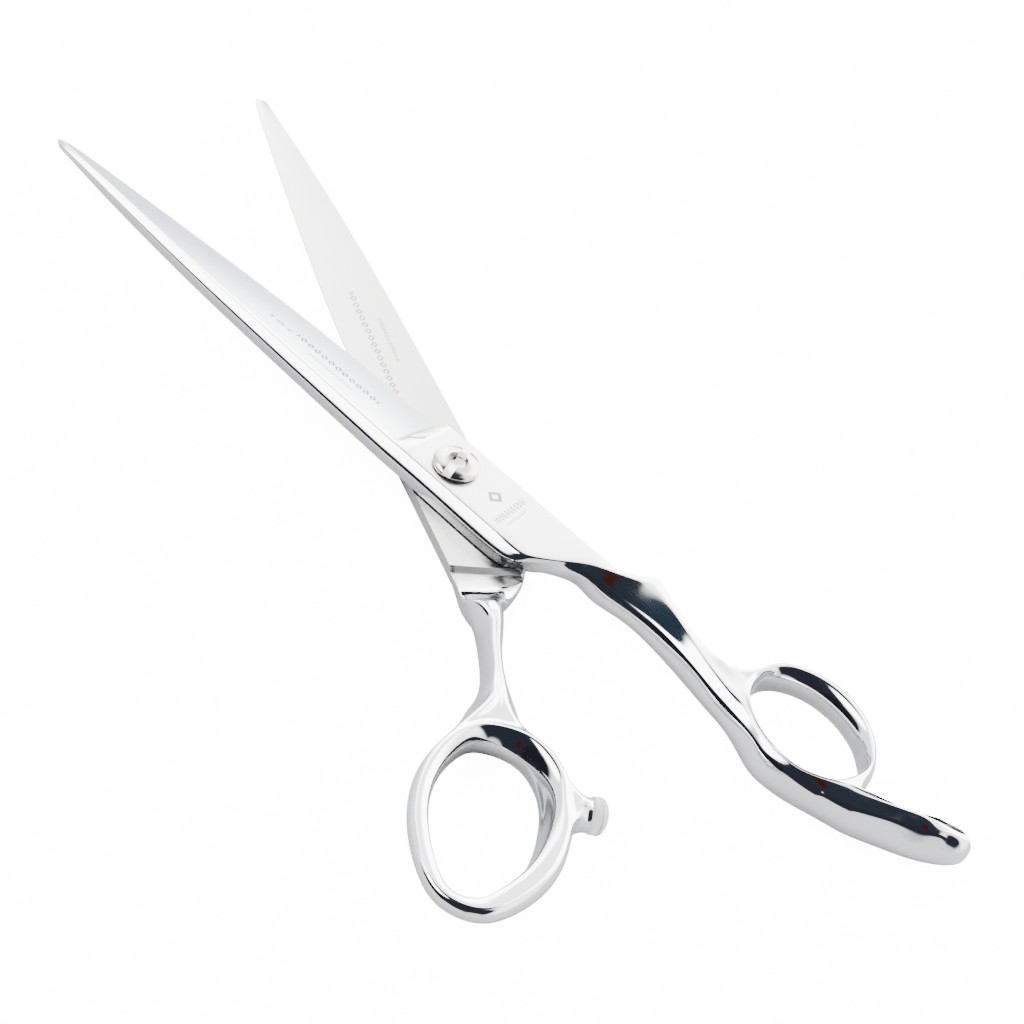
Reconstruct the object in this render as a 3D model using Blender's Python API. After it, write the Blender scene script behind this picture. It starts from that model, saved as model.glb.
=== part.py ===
"""Seven-inch hair cutting shears: two half-scissors on an adjustable pivot screw.

Run with blender --background --python part.py. Metres, +Z up. The pivot axis is Z. The finger
half's blade points along -X and its handle along +X. The outer face of the thumb half lies on
z = 0, and the ride plane, where the two halves meet, is one plate thickness above it.
Shapes are written in millimetres in the frame of one half: x towards the handle, y towards the
cutting edge, z = 0 on the ride plane and z = PLATE on the outer face.
"""
import math

import bmesh
import bpy
import numpy as np
from mathutils import Euler, Matrix, Vector

MM = 0.001

# Driving dimensions, in millimetres and degrees.
BLADE = 95.0            # pivot to tip
PLATE = 3.7             # thickness of one half at the pivot
OPEN_ANGLE = 24.94      # between the blades as the shears lie open
RIDE_GAP = 0.15         # each half's inner face stands this far from the ride plane
GAP = 0.3               # between pieces that touch
EDGE_LAND = 0.25        # thickness left at the cutting edge
HOLLOW = 0.12           # depth of the hollow grind on the inner face

# Pivot block, the flat part that carries the screw.
BLOCK_EDGE_SIDE = 7.0   # half width at the ride plane, cutting edge side
BLOCK_SPINE = 6.86      # half width, spine side
FLAT_HIGH = 6.1         # the outer flat runs from FLAT_LOW to FLAT_HIGH
FLAT_LOW = -5.07
WALL = 2.2              # height of the spine wall below its bevel
STEP = -9.7             # where the ground facet ends at the pivot block

# Pivot parts.
HEAD_R = 4.0
HEAD_UNDER = PLATE + GAP
HEAD_RIM = 4.3          # height of the head's side, where its dome begins
HEAD_TOP = 5.3
COUNTERBORE_R = 3.7     # sunk seat of the bush and the washer, hidden by the head
COUNTERBORE_FLOOR = 2.15
FLANGE_R = 3.4
FLANGE_THICK = 0.45
SLEEVE_R = 2.7
JOURNAL_R = 1.9         # smooth part of the screw, inside the bush
THREAD_R = 1.75
WASHER_R = 3.4
WASHER_BORE_R = 2.25
WASHER_THICK = 0.3
WASHER_WAVE = 0.1       # the curved washer rises and falls by this much
GLIDE_R = 4.3
GLIDE_BORE_R = 2.25
GLIDE_THICK = 0.3
SLOT_WIDTH = 1.5
SLOT_DEPTH = 0.95
SLOT_ANGLE = 105.0
RECESS_R = 1.75
RECESS_DEPTH = 1.15

# Bumper on the thumb ring.
BOSS_END = 4.3          # from the middle of the ring's bar to the end of the boss
BOSS_R = 2.8
BUMPER_R = 3.0
BUMPER_LENGTH = 2.8
STEM_R = 0.9
STEM_LENGTH = 3.2
BUMPER_DIRECTION = -70.0

RING_SIDES = 8          # points in every cross-section
INNER_LINES = (0, 6)    # corners of a section that lie on its inner side
SMOOTH_LEVEL = 1
SOFT_CREASE = 0.4       # an edge that is blended a little by the buffing wheel


def clear_scene():
    for item in list(bpy.data.objects):
        bpy.data.objects.remove(item, do_unlink=True)


def metal(name, colour, roughness, metallic=1.0):
    material = bpy.data.materials.new(name)
    material.use_nodes = True
    shader = material.node_tree.nodes["Principled BSDF"]
    shader.inputs["Base Color"].default_value = (*colour, 1.0)
    shader.inputs["Roughness"].default_value = roughness
    shader.inputs["Metallic"].default_value = metallic
    return material


# ---- cross-sections: eight points each, from the inner face round the edge side to the spine ----

def blade_section(x, edge, spine, wall, ridge_in, ridge):
    """Ground blade: hollow inner face, convex facet up to a ridge, bevel, spine wall."""
    ridge_y = spine + ridge_in
    facet_y = (edge + ridge_y) / 2
    facet_z = (EDGE_LAND + ridge) / 2 + 0.05 * ridge
    return [
        (x, edge, RIDE_GAP),
        (x, edge + 0.02, RIDE_GAP + EDGE_LAND / 2),
        (x, edge, RIDE_GAP + EDGE_LAND),
        (x, facet_y, facet_z),
        (x, ridge_y, ridge),
        (x, spine, wall),
        (x, spine, RIDE_GAP),
        (x, (edge + spine) / 2, RIDE_GAP + HOLLOW),
    ]


def block_section(edge_x, spine_x, shoulder=0.0):
    """Pivot block: flat outer face between a small side wall and the bevelled spine."""
    middle = (edge_x + spine_x) / 2
    return [
        (edge_x, BLOCK_EDGE_SIDE, RIDE_GAP),
        (edge_x + 0.7 * shoulder, 6.6, 2.6),
        (edge_x + shoulder, FLAT_HIGH, PLATE),
        (middle + 0.9 * shoulder, 0.5, PLATE),
        (spine_x + 0.6 * shoulder, FLAT_LOW, PLATE),
        (spine_x, -BLOCK_SPINE, WALL),
        (spine_x, -BLOCK_SPINE, RIDE_GAP),
        (middle, 0.0, RIDE_GAP),
    ]


def bar_section(low, high, inner, outer, inset, tuck):
    """Forged bar between two side points, with a flat outer face and a rounder back.

    low and high are (x, y) of the two sides, inner and outer are the z of the two faces, inset
    is how far the outer face's edges stand in from the sides, and tuck is the back's share.
    """
    low, high = Vector(low), Vector(high)
    across = (high - low).normalized()
    width = (high - low).length
    middle_z = (inner + outer) / 2

    def at(distance, z):
        point = low + across * distance
        return (point.x, point.y, z)

    return [
        at(width * (1 - tuck), inner),
        at(width, (middle_z + outer) / 2),
        at(width - inset, outer),
        at(width / 2, outer + 0.06),
        at(inset, outer),
        at(0.0, middle_z),
        at(width * tuck, inner),
        at(width / 2, inner - 0.06),
    ]


def shank_section(crease, upper, high, side, inner, bulge, foot=0.5):
    """Forged shank of the finger half, with a narrow flat along its top.

    The flat lies between the points upper and high. A dished face falls from upper to crease,
    and a wall from there, bulging outwards, to the rounded inner face. side is the (x, y) of
    the side below the flat, and foot is how far down the wall's foot is.
    """
    low = Vector(crease[:2])
    side = Vector(side)
    across = side - low
    wall = low - across.normalized() * bulge
    corner = low + across * 0.85
    back = low + across * 0.42
    middle = (Vector(upper) + Vector(high)) / 2
    return [
        (corner.x, corner.y, 0.75 * inner),
        (side.x, side.y, 0.1 * high[2]),
        tuple(high),
        tuple(middle),
        tuple(upper),
        tuple(crease),
        (wall.x, wall.y, foot * inner),
        (back.x, back.y, inner),
    ]


def ring_section(centre, outward, half_width, inner, outer, flare=0.0, lip=0.14):
    """Bar of a finger ring: rounded outside, flatter inside wall that may flare at its foot.

    lip is the share of the height by which the inner face falls towards the hole.
    """
    centre, outward = Vector(centre), Vector(outward).normalized()
    middle_z = (inner + outer) / 2

    def at(distance, z):
        point = centre + outward * distance
        return (point.x, point.y, z)

    return [
        at(0.7 * half_width, inner + 0.06 * (outer - inner)),
        at(half_width, middle_z),
        at(0.62 * half_width, outer - 0.12 * (outer - inner)),
        at(-0.1 * half_width - 0.4 * flare, outer),
        at(-0.8 * half_width - flare, outer - 0.22 * (outer - inner)),
        at(-half_width - 0.4 * flare, middle_z),
        at(-0.8 * half_width, inner + lip * (outer - inner)),
        at(-0.1 * half_width, inner),
    ]


class Cage:
    """Quad cage whose smooth surface passes through every stated point."""

    def __init__(self):
        self.points = []
        self.faces = []
        self.creases = {}

    def add_section(self, section):
        start = len(self.points)
        self.points.extend(section)
        return [start + i for i in range(RING_SIDES)]

    def join(self, first, second, open_lines=()):
        """Quads between two sections; a line in open_lines is left out for a branch."""
        for i in range(RING_SIDES):
            if i in open_lines:
                continue
            j = (i + 1) % RING_SIDES
            self.faces.append((first[i], first[j], second[j], second[i]))

    def cap(self, section, centre):
        middle = len(self.points)
        self.points.append(centre)
        for i in range(1, RING_SIDES, 2):
            j, k = (i + 1) % RING_SIDES, (i + 2) % RING_SIDES
            self.faces.append((middle, section[i], section[j], section[k]))

    def crease(self, chain, value):
        for a, b in zip(chain, chain[1:]):
            self.creases[tuple(sorted((a, b)))] = value

    def crease_line(self, sections, line, value):
        self.crease([section[line] for section in sections], value)

    def crease_loop(self, section, value=1.0):
        self.crease(section + section[:1], value)

    def fitted_points(self, rounds=8):
        """Cage corners for which the limit surface meets the stated points."""
        target = np.array(self.points, dtype=float)
        cage = target.copy()
        edges = [set() for _ in target]
        diagonals = [[] for _ in target]
        for face in self.faces:
            for i, corner in enumerate(face):
                edges[corner].update((face[i - 1], face[(i + 1) % 4]))
                diagonals[corner].append(face[(i + 2) % 4])
        sharp = [[] for _ in target]
        for (a, b), value in self.creases.items():
            if value > 0.35:
                sharp[a].append(b)
                sharp[b].append(a)
        for _ in range(rounds):
            limit = cage.copy()
            for v in range(len(target)):
                if len(sharp[v]) > 2 or not edges[v]:
                    continue
                if len(sharp[v]) == 2:
                    limit[v] = (4 * cage[v] + cage[sharp[v]].sum(0)) / 6
                    continue
                n = len(edges[v])
                near = 4 * cage[list(edges[v])].sum(0) + cage[diagonals[v]].sum(0)
                limit[v] = (n * n * cage[v] + near) / (n * (n + 5))
            cage += target - limit
        return cage

    def build(self, name, level):
        mesh = bpy.data.meshes.new(name)
        cage = self.fitted_points() * MM
        mesh.from_pydata([tuple(p) for p in cage], [], self.faces)
        shape = bmesh.new()
        shape.from_mesh(mesh)
        bmesh.ops.recalc_face_normals(shape, faces=shape.faces)
        layer = shape.edges.layers.float.new("crease_edge")
        for edge in shape.edges:
            key = tuple(sorted((edge.verts[0].index, edge.verts[1].index)))
            edge[layer] = self.creases.get(key, 0.0)
        under_branches = [vertex for vertex in shape.verts if not vertex.link_faces]
        bmesh.ops.delete(shape, geom=under_branches, context="VERTS")
        shape.to_mesh(mesh)
        shape.free()
        mesh.shade_smooth()
        item = bpy.data.objects.new(name, mesh)
        bpy.context.scene.collection.objects.link(item)
        smooth = item.modifiers.new("smooth", "SUBSURF")
        smooth.levels = level
        smooth.render_levels = level
        return item


# ---- the parts of a half that both halves share ----

BLADE_STATIONS = [
    # x, edge, spine, wall, ridge inset, ridge height
    (-94.2, 0.35, -0.95, 0.65, 0.5, 0.95),
    (-91.0, 1.05, -1.75, 1.1, 0.8, 1.45),
    (-80.0, 2.35, -3.1, 1.65, 1.1, 2.25),
    (-62.0, 4.2, -4.75, 2.0, 1.3, 2.95),
    (-42.0, 5.95, -5.85, 2.1, 1.5, 3.35),
    (-22.0, 6.85, -6.55, 2.15, 1.7, 3.6),
    (STEP, 6.85, -BLOCK_SPINE, WALL, BLOCK_SPINE + FLAT_LOW, PLATE),
]


def add_blade_and_block(cage):
    """Blade, step and pivot block. Returns the sections from the tip to the block's end."""
    sections = []
    for station in BLADE_STATIONS:
        sections.append(cage.add_section(blade_section(*station)))
    sections.append(cage.add_section(block_section(STEP + 0.1, STEP + 0.4, shoulder=2.5)))
    sections.append(cage.add_section(block_section(3.5, 3.5)))
    sections.append(cage.add_section(block_section(15.5, 16.2)))
    cage.cap(sections[0], (-BLADE, -0.3, 0.5))
    cage.crease_loop(sections[6])
    cage.crease_loop(sections[7])
    for line in (0, 2, 6):
        cage.crease_line(sections, line, 1.0)
    cage.crease_line(sections, 4, 0.6)
    cage.crease_line(sections, 5, SOFT_CREASE)
    cage.crease_line(sections[:7], 1, 1.0)
    return sections


def join_all(cage, sections, openings):
    """Joins a run of sections. openings maps a section's index to the lines left open there."""
    for i, (first, second) in enumerate(zip(sections, sections[1:])):
        cage.join(first, second, openings.get(i, ()))


def branch_rim(a, b, c):
    """Rim of the 2 x 2 patch on the edge side of three sections, in section order from a to c."""
    return [a[0], a[1], a[2], b[2], c[2], c[1], c[0], b[0]]


# ---- finger half ----

HOLE_CENTRE = Vector((71.2, 9.0))
HOLE_LONG = 11.5
HOLE_SHORT = 8.0
HOLE_TILT = math.radians(-13.4)


def hole_point(angle):
    """Point on the finger hole's oval at a direction given in degrees."""
    turn = math.radians(angle) - HOLE_TILT
    radius = 1 / math.hypot(math.cos(turn) / HOLE_LONG, math.sin(turn) / HOLE_SHORT)
    way = Vector((math.cos(math.radians(angle)), math.sin(math.radians(angle))))
    return HOLE_CENTRE + way * radius, way


def finger_neck(cage):
    """Slanted end of the block, where the bar leaves it beside the other half's bar."""
    first = [
        (20.6, 7.0, RIDE_GAP), (20.6, 6.6, 2.6), (20.8, FLAT_HIGH, PLATE), (20.8, 0.9, PLATE),
        (20.9, -4.2, PLATE), (20.6, -5.2, 2.7), (19.4, -5.2, RIDE_GAP), (20.0, 1.0, RIDE_GAP),
    ]
    second = [
        (25.2, 7.0, 0.3), (25.2, 6.6, 2.6), (25.2, 6.1, PLATE), (24.9, 3.0, PLATE),
        (24.8, 0.0, 3.65), (24.5, -0.8, 2.8), (22.9, -1.9, 0.3), (23.8, 2.6, 0.35),
    ]
    third = [
        (29.0, 6.9, -0.9), (28.9, 7.2, 2.0), (28.6, 6.5, 3.5), (28.2, 5.1, 3.6),
        (27.8, 3.5, 3.6), (27.4, 0.8, 2.8), (26.9, 1.3, -0.3), (27.9, 4.3, -0.9),
    ]
    return [cage.add_section(points) for points in (first, second, third)]


FINGER_BAR = [
    # low crease, upper crease, high edge, inner z, bulge of the wall
    ((30.9, 2.3, 2.4), (31.6, 6.1, 3.5), (32.0, 7.6, 3.3), -2.2, 0.4),
    ((36.0, 3.4, 2.2), (36.3, 9.4, 3.4), (36.0, 11.5, 3.2), -2.7, 0.4),
    ((41.1, 4.0, 2.1), (41.4, 8.3, 3.3), (41.8, 9.3, 3.1), -2.9, 0.65),
    ((46.2, 3.8, 2.0), (46.4, 6.7, 3.2), (46.9, 7.7, 3.05), -3.2, 0.8),
    ((51.4, 2.8, 1.95), (51.4, 4.9, 3.15), (52.0, 6.9, 3.05), -3.3, 0.6),
    ((55.6, 1.9, 1.95), (56.1, 3.7, 3.1), (55.5, 7.3, 2.95), -3.3, 0.6),
    ((59.0, 1.3, 1.95), (59.6, 3.0, 3.05), (58.6, 7.9, 2.9), -3.3, 0.6),
]
FOOT_SECTIONS = 2       # the last two of these, and the first at the rim, carry the ring's foot
RING_HALF_HEIGHT = 2.9
RIM_STATIONS = [
    # low crease and its drop, share of the width at the upper crease, hole angle, height,
    # rounding, bulge of the wall and how far down its foot is
    ((62.6, 0.7), 1.05, 0.45, 196, 3.05, 1.2, 0.75, 0.6),
    ((66.8, -0.5), 1.05, 0.55, 232, 3.1, 0.7, 1.0, 0.7),
    ((71.0, -1.7), 0.95, 0.66, 268, 3.15, 0.7, 0.95, 0.72),
    ((76.5, -1.5), 0.9, 0.72, 303, 3.15, 0.7, 0.7, 0.7),
    ((81.0, -0.3), 0.85, 0.74, 334, 3.25, 0.6, 0.75, 0.68),
]
TANG_STATIONS = [
    # low crease, high edge, height, bulge of the wall and how far down its foot is
    ((84.3, 0.8), (83.0, 4.9), 3.35, 0.8, 0.66),
    ((87.3, 2.2), (85.2, 5.7), 3.4, 1.0, 0.7),
    ((91.9, 5.4), (90.4, 7.9), 3.4, 1.4, 0.78),
    ((96.1, 7.9), (94.4, 10.4), 3.3, 1.5, 0.78),
    ((99.8, 10.5), (97.9, 12.6), 2.95, 1.35, 0.74),
    ((102.1, 12.8), (100.5, 14.0), 2.3, 0.95, 0.6),
]


def finger_bar(cage):
    """Bar from the neck, under the finger hole, to the end of the finger rest."""
    sections = []
    for crease, upper, high, inner, bulge in FINGER_BAR:
        shape = shank_section(crease, upper, high, high[:2], inner, bulge)
        sections.append(cage.add_section(shape))
    for low, drop, share, angle, height, rounding, bulge, foot in RIM_STATIONS:
        side = hole_point(angle)[0]
        low = Vector(low)
        high = side - (side - low).normalized() * rounding
        upper = low.lerp(high, share)
        shape = shank_section((*low, height - drop), (*upper, height), (*high, height), side,
                              -height, bulge, foot)
        sections.append(cage.add_section(shape))
    for low, high, height, bulge, foot in TANG_STATIONS:
        low, high = Vector(low), Vector(high)
        side = high + (high - low).normalized() * 0.4
        upper = low.lerp(high, 0.72)
        shape = shank_section((*low, height - 0.85), (*upper, height), (*high, height), side,
                              -height, bulge, foot)
        sections.append(cage.add_section(shape))
    cage.cap(sections[-1], (102.4, 14.4, 0.0))
    return sections


def finger_ring(cage, left, right):
    """Arch of the finger ring, from its left foot over the hole to its right foot."""
    arch = []
    thickness = [(172, 2.3), (152, 3.0), (131, 3.8), (110, 4.2), (88, 4.1), (66, 3.7),
                 (45, 3.2), (25, 2.5), (6, 1.9)]
    for angle, thick in thickness:
        inside, way = hole_point(angle)
        centre = inside + way * thick / 2
        shape = ring_section(centre, way, thick / 2, -RING_HALF_HEIGHT, RING_HALF_HEIGHT)
        arch.append(cage.add_section(shape))
    start = branch_rim(*left)
    end = branch_rim(*reversed(right))
    join_all(cage, [start] + arch + [end], {})


def make_finger_half():
    cage = Cage()
    block = add_blade_and_block(cage)
    neck = finger_neck(cage)
    bar = finger_bar(cage)
    sections = block + neck + bar
    left = len(block) + len(neck) + len(FINGER_BAR) - FOOT_SECTIONS
    right = left + 6
    both_lines = (0, 1)
    openings = {i: both_lines for i in (left, left + 1, right, right + 1)}
    join_all(cage, sections, openings)
    finger_ring(cage, sections[left:left + 3], sections[right:right + 3])
    neck_start = len(block) - 1
    bump = len(block) + len(neck) + 1
    for line in INNER_LINES:
        cage.crease_line(sections[neck_start:neck_start + 3], line, 1.0)
    cage.crease_line(sections[neck_start:bump + 1], 2, 1.0)
    cage.crease_line(sections[bump:left + 1], 2, 0.7)
    cage.crease_line(sections[right + 2:-1], 2, 0.7)
    cage.crease_line(sections[neck_start:left + 3], 4, SOFT_CREASE)
    cage.crease_line(sections[left + 2:left + 5], 4, SOFT_CREASE)
    cage.crease_line(sections[neck_start:right + 1], 5, SOFT_CREASE)
    cage.crease_line(sections[right:-1], 5, 0.55)
    cage.crease(sections[bump][1:5], 0.7)
    return cage.build("finger_half", SMOOTH_LEVEL)


# ---- thumb half: the same blade and block turned over, with its own bar and ring ----

THUMB_BAR = [
    # centre, heading in degrees, width, inner z, outer z
    ((31.6, 5.6), 22.0, 4.4, -2.6, 2.9),
    ((35.2, 6.9), 21.0, 3.6, -2.5, 2.7),
    ((38.8, 8.2), 20.0, 3.3, -2.5, 2.6),
    ((42.3, 9.4), 20.0, 3.8, -2.6, 2.7),
    ((45.6, 10.7), 23.0, 5.5, -2.8, 2.9),
    ((48.8, 12.2), 28.0, 8.4, -3.0, 3.1),
]
THUMB_RING = [
    # middle of the bar, half width, half height, flare of the hole wall, lip towards the hole
    ((53.5, 20.3), 1.75, 3.0, 0.0, 0.22),
    ((53.0, 15.3), 1.9, 3.25, 0.0, 0.27),
    ((56.0, 10.5), 2.1, 3.3, 0.3, 0.3),
    ((60.5, 8.3), 2.05, 3.3, 0.8, 0.25),
    ((64.8, 7.9), 1.95, 3.2, 1.3, 0.18),
    ((68.7, 8.7), 1.95, 3.1, 1.5, 0.14),
    ((72.3, 10.4), 2.05, 3.0, 1.4, 0.14),
    ((77.1, 13.9), 2.2, 2.8, 0.9, 0.12),
    ((81.5, 18.9), 2.25, 2.5, 0.3, 0.1),
    ((84.2, 24.7), 2.15, 2.1, 0.0, 0.1),
    ((84.7, 29.6), 1.85, 1.8, 0.0, 0.12),
    ((81.6, 33.6), 1.5, 1.65, 0.0, 0.14),
    ((76.0, 34.3), 1.6, 1.65, 0.0, 0.14),
    ((69.4, 33.1), 1.65, 1.7, 0.0, 0.14),
    ((63.2, 30.6), 1.65, 2.0, 0.0, 0.16),
    ((57.5, 26.2), 1.7, 2.5, 0.0, 0.18),
]
BOSS_STATION = 5


def thumb_neck(cage):
    """Slanted end of the block. The inner face ends at an arc round the pivot, and is relieved
    beyond it before the bar rises past the ride plane."""
    arc = [
        (17.5, 7.0, RIDE_GAP), (17.8, 6.6, 2.6), (18.4, FLAT_HIGH, PLATE), (19.2, 0.9, PLATE),
        (20.9, -4.6, PLATE), (20.9, -5.6, WALL), (19.9, -5.6, RIDE_GAP), (18.9, 0.6, RIDE_GAP),
    ]
    relief = [
        (18.7, 7.1, 0.8), (19.3, 6.7, 2.6), (20.0, FLAT_HIGH, PLATE), (21.0, 1.4, PLATE),
        (22.7, -3.3, PLATE), (22.7, -4.3, WALL), (21.2, -4.7, 0.7), (20.0, 1.0, 0.8),
    ]
    flat_end = [
        (22.2, 7.3, 0.6), (22.4, 7.1, 2.3), (22.9, 6.3, 3.55), (24.0, 2.9, 3.6),
        (25.2, -0.3, 3.5), (25.1, -1.7, 2.0), (23.5, -2.2, 0.55), (22.6, 2.9, 0.6),
    ]
    rise = [
        (25.2, 7.5, -0.4), (24.9, 7.6, 1.6), (25.4, 6.9, 3.35), (26.2, 4.3, 3.4),
        (27.1, 1.8, 3.3), (27.0, 0.7, 1.5), (25.6, 0.9, 0.1), (25.3, 4.2, -0.4),
    ]
    top = [
        (27.8, 7.1, -2.3), (27.4, 7.6, 0.6), (27.9, 6.9, 3.1), (28.6, 4.9, 3.2),
        (29.3, 2.9, 3.1), (29.3, 2.1, 0.6), (28.2, 3.0, -2.0), (27.9, 5.2, -2.4),
    ]
    return [cage.add_section(points) for points in (arc, relief, flat_end, rise, top)]


def thumb_bar(cage):
    sections = []
    for centre, heading, width, inner, outer in THUMB_BAR:
        turn = math.radians(heading)
        across = Vector((-math.sin(turn), math.cos(turn))) * width / 2
        low, high = Vector(centre) - across, Vector(centre) + across
        shape = bar_section(low, high, inner, outer, width * 0.3, tuck=0.28)
        sections.append(cage.add_section(shape))
    return sections


def ring_outward(index):
    """Direction square to the ring's bar, away from its hole."""
    before = Vector(THUMB_RING[index - 1][0])
    after = Vector(THUMB_RING[(index + 1) % len(THUMB_RING)][0])
    along = (after - before).normalized()
    return Vector((along.y, -along.x))


def thumb_ring(cage):
    ring = []
    for index, (centre, half_width, half_height, flare, lip) in enumerate(THUMB_RING):
        shape = ring_section(centre, ring_outward(index), half_width, -half_height, half_height,
                             flare, lip)
        ring.append(cage.add_section(shape))
    return ring


def bumper_axis():
    turn = math.radians(BUMPER_DIRECTION)
    return Vector(THUMB_RING[BOSS_STATION][0]), Vector((math.cos(turn), math.sin(turn)))


def boss_section(distance, radius):
    """Round section of the bumper's boss, its points in the order of the patch it grows from."""
    start, way = bumper_axis()
    centre = start + way * distance
    along = Vector((-way.y, way.x))
    points = []
    for step in range(RING_SIDES):
        turn = math.radians(225 - 45 * step)
        side = centre + along * radius * math.cos(turn)
        points.append((side.x, side.y, radius * math.sin(turn)))
    return points


def make_thumb_half():
    cage = Cage()
    block = add_blade_and_block(cage)
    neck = thumb_neck(cage)
    bar = thumb_bar(cage)
    ring = thumb_ring(cage)
    shank = block + neck + bar
    join_all(cage, shank, {})
    cage.join(bar[-1], branch_rim(*ring[0:3]))
    both_lines = (0, 1)
    boss_at = (BOSS_STATION - 1, BOSS_STATION)
    openings = {i: both_lines for i in (0, 1) + boss_at}
    join_all(cage, ring + ring[:1], openings)
    rim = branch_rim(*ring[BOSS_STATION - 1:BOSS_STATION + 2])
    boss = [cage.add_section(boss_section(3.1, BOSS_R + 0.15)),
            cage.add_section(boss_section(BOSS_END, BOSS_R))]
    cage.join(rim, boss[0])
    cage.join(boss[0], boss[1])
    start, way = bumper_axis()
    end = start + way * BOSS_END
    cage.cap(boss[1], (end.x, end.y, 0.0))
    cage.crease_loop(boss[1])
    last = len(block) - 1
    cage.crease_line(shank[last:last + 4], 5, SOFT_CREASE)
    cage.crease_line(shank[last:last + 4], 6, 1.0)
    cage.crease_line(shank[last:last + 2], 0, 1.0)
    cage.crease_line(shank[last + 1:last + 5], 0, 0.8)
    cage.crease([neck[0][0], neck[0][7], neck[0][6]], 1.0)
    cage.crease([neck[1][0], neck[1][7], neck[1][6]], 0.7)
    cage.crease_line(shank[last:last + 4], 2, 1.0)
    cage.crease_line(shank[last:last + 4], 4, SOFT_CREASE)
    return cage.build("thumb_half", SMOOTH_LEVEL)


# ---- cutters, and the small pieces ----

def cylinder(name, radius, low, high, sides=48):
    """Closed cylinder along Z between two heights, in millimetres."""
    shape = bmesh.new()
    bmesh.ops.create_cone(shape, cap_ends=True, segments=sides, radius1=radius * MM,
                          radius2=radius * MM, depth=(high - low) * MM)
    bmesh.ops.translate(shape, verts=shape.verts, vec=(0, 0, (low + high) / 2 * MM))
    mesh = bpy.data.meshes.new(name)
    shape.to_mesh(mesh)
    shape.free()
    item = bpy.data.objects.new(name, mesh)
    bpy.context.scene.collection.objects.link(item)
    return item


def block(name, size, height):
    """Box of this size in millimetres, centred on the Z axis at a height."""
    shape = bmesh.new()
    bmesh.ops.create_cube(shape, size=MM)
    bmesh.ops.scale(shape, verts=shape.verts, vec=size)
    bmesh.ops.translate(shape, verts=shape.verts, vec=(0, 0, height * MM))
    mesh = bpy.data.meshes.new(name)
    shape.to_mesh(mesh)
    shape.free()
    item = bpy.data.objects.new(name, mesh)
    bpy.context.scene.collection.objects.link(item)
    return item


def cut(item, cutter):
    cutter.hide_render = True
    cutter.display_type = "WIRE"
    boolean = item.modifiers.new(cutter.name, "BOOLEAN")
    boolean.operation = "DIFFERENCE"
    boolean.solver = "EXACT"
    boolean.object = cutter


def turned(name, profile, sides=48):
    """Piece turned about Z from a closed (radius, z) outline in millimetres."""
    shape = bmesh.new()
    corners = [shape.verts.new((r * MM, 0, z * MM)) for r, z in profile]
    pairs = [(corners[i - 1], corners[i]) for i in range(len(corners))]
    edges = [shape.edges.new(pair) for pair in pairs if pair[0].co.x > 0 or pair[1].co.x > 0]
    bmesh.ops.spin(shape, geom=corners + edges, cent=(0, 0, 0), axis=(0, 0, 1),
                   angle=math.tau, steps=sides, use_merge=True)
    bmesh.ops.remove_doubles(shape, verts=shape.verts, dist=1e-6)
    bmesh.ops.recalc_face_normals(shape, faces=shape.faces)
    mesh = bpy.data.meshes.new(name)
    shape.to_mesh(mesh)
    shape.free()
    mesh.shade_smooth()
    mesh.set_sharp_from_angle(angle=math.radians(35))
    item = bpy.data.objects.new(name, mesh)
    bpy.context.scene.collection.objects.link(item)
    return item


def make_pivot_screw():
    """Domed head with a coin slot and a round recess, smooth journal, threaded end."""
    dome = []
    for step in range(7):
        turn = math.radians(15 * step)
        height = HEAD_RIM + (HEAD_TOP - HEAD_RIM) * math.sin(turn)
        dome.append((HEAD_R * math.cos(turn), height))
    dome[-1] = (0.0, HEAD_TOP)
    journal_end = -3 * RIDE_GAP
    profile = [(0.0, -PLATE), (THREAD_R, -PLATE), (THREAD_R, journal_end), (JOURNAL_R, journal_end),
               (JOURNAL_R, HEAD_UNDER), (HEAD_R, HEAD_UNDER)] + dome
    screw = turned("pivot_screw", profile)
    recess = cylinder("screw_recess", RECESS_R, HEAD_TOP - RECESS_DEPTH, HEAD_TOP + 1)
    slot = block("screw_slot", (2.4 * HEAD_R, SLOT_WIDTH, 2 * SLOT_DEPTH), HEAD_TOP)
    cut(screw, recess)
    cut(screw, slot)
    return screw, [recess, slot]


def make_pivot_bush():
    bottom = RIDE_GAP
    flange = COUNTERBORE_FLOOR + GAP
    bore = JOURNAL_R + GAP
    top = flange + FLANGE_THICK
    profile = [(bore, bottom), (SLEEVE_R, bottom), (SLEEVE_R, flange), (FLANGE_R, flange),
               (FLANGE_R, top), (bore, top)]
    return turned("pivot_bush", profile)


def make_spring_washer():
    """Curved washer that presses the halves together: its rim waves up and down twice."""
    bottom = COUNTERBORE_FLOOR + 2 * GAP + FLANGE_THICK + WASHER_WAVE
    profile = [(WASHER_BORE_R, bottom), (WASHER_R, bottom), (WASHER_R, bottom + WASHER_THICK),
               (WASHER_BORE_R, bottom + WASHER_THICK)]
    washer = turned("spring_washer", profile)
    for vertex in washer.data.vertices:
        turn = math.atan2(vertex.co.y, vertex.co.x)
        vertex.co.z += WASHER_WAVE * math.cos(2 * turn) * MM
    return washer


def make_glide_washer():
    top = -RIDE_GAP
    profile = [(GLIDE_BORE_R, top - GLIDE_THICK), (GLIDE_R, top - GLIDE_THICK), (GLIDE_R, top),
               (GLIDE_BORE_R, top)]
    return turned("glide_washer", profile)


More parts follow.
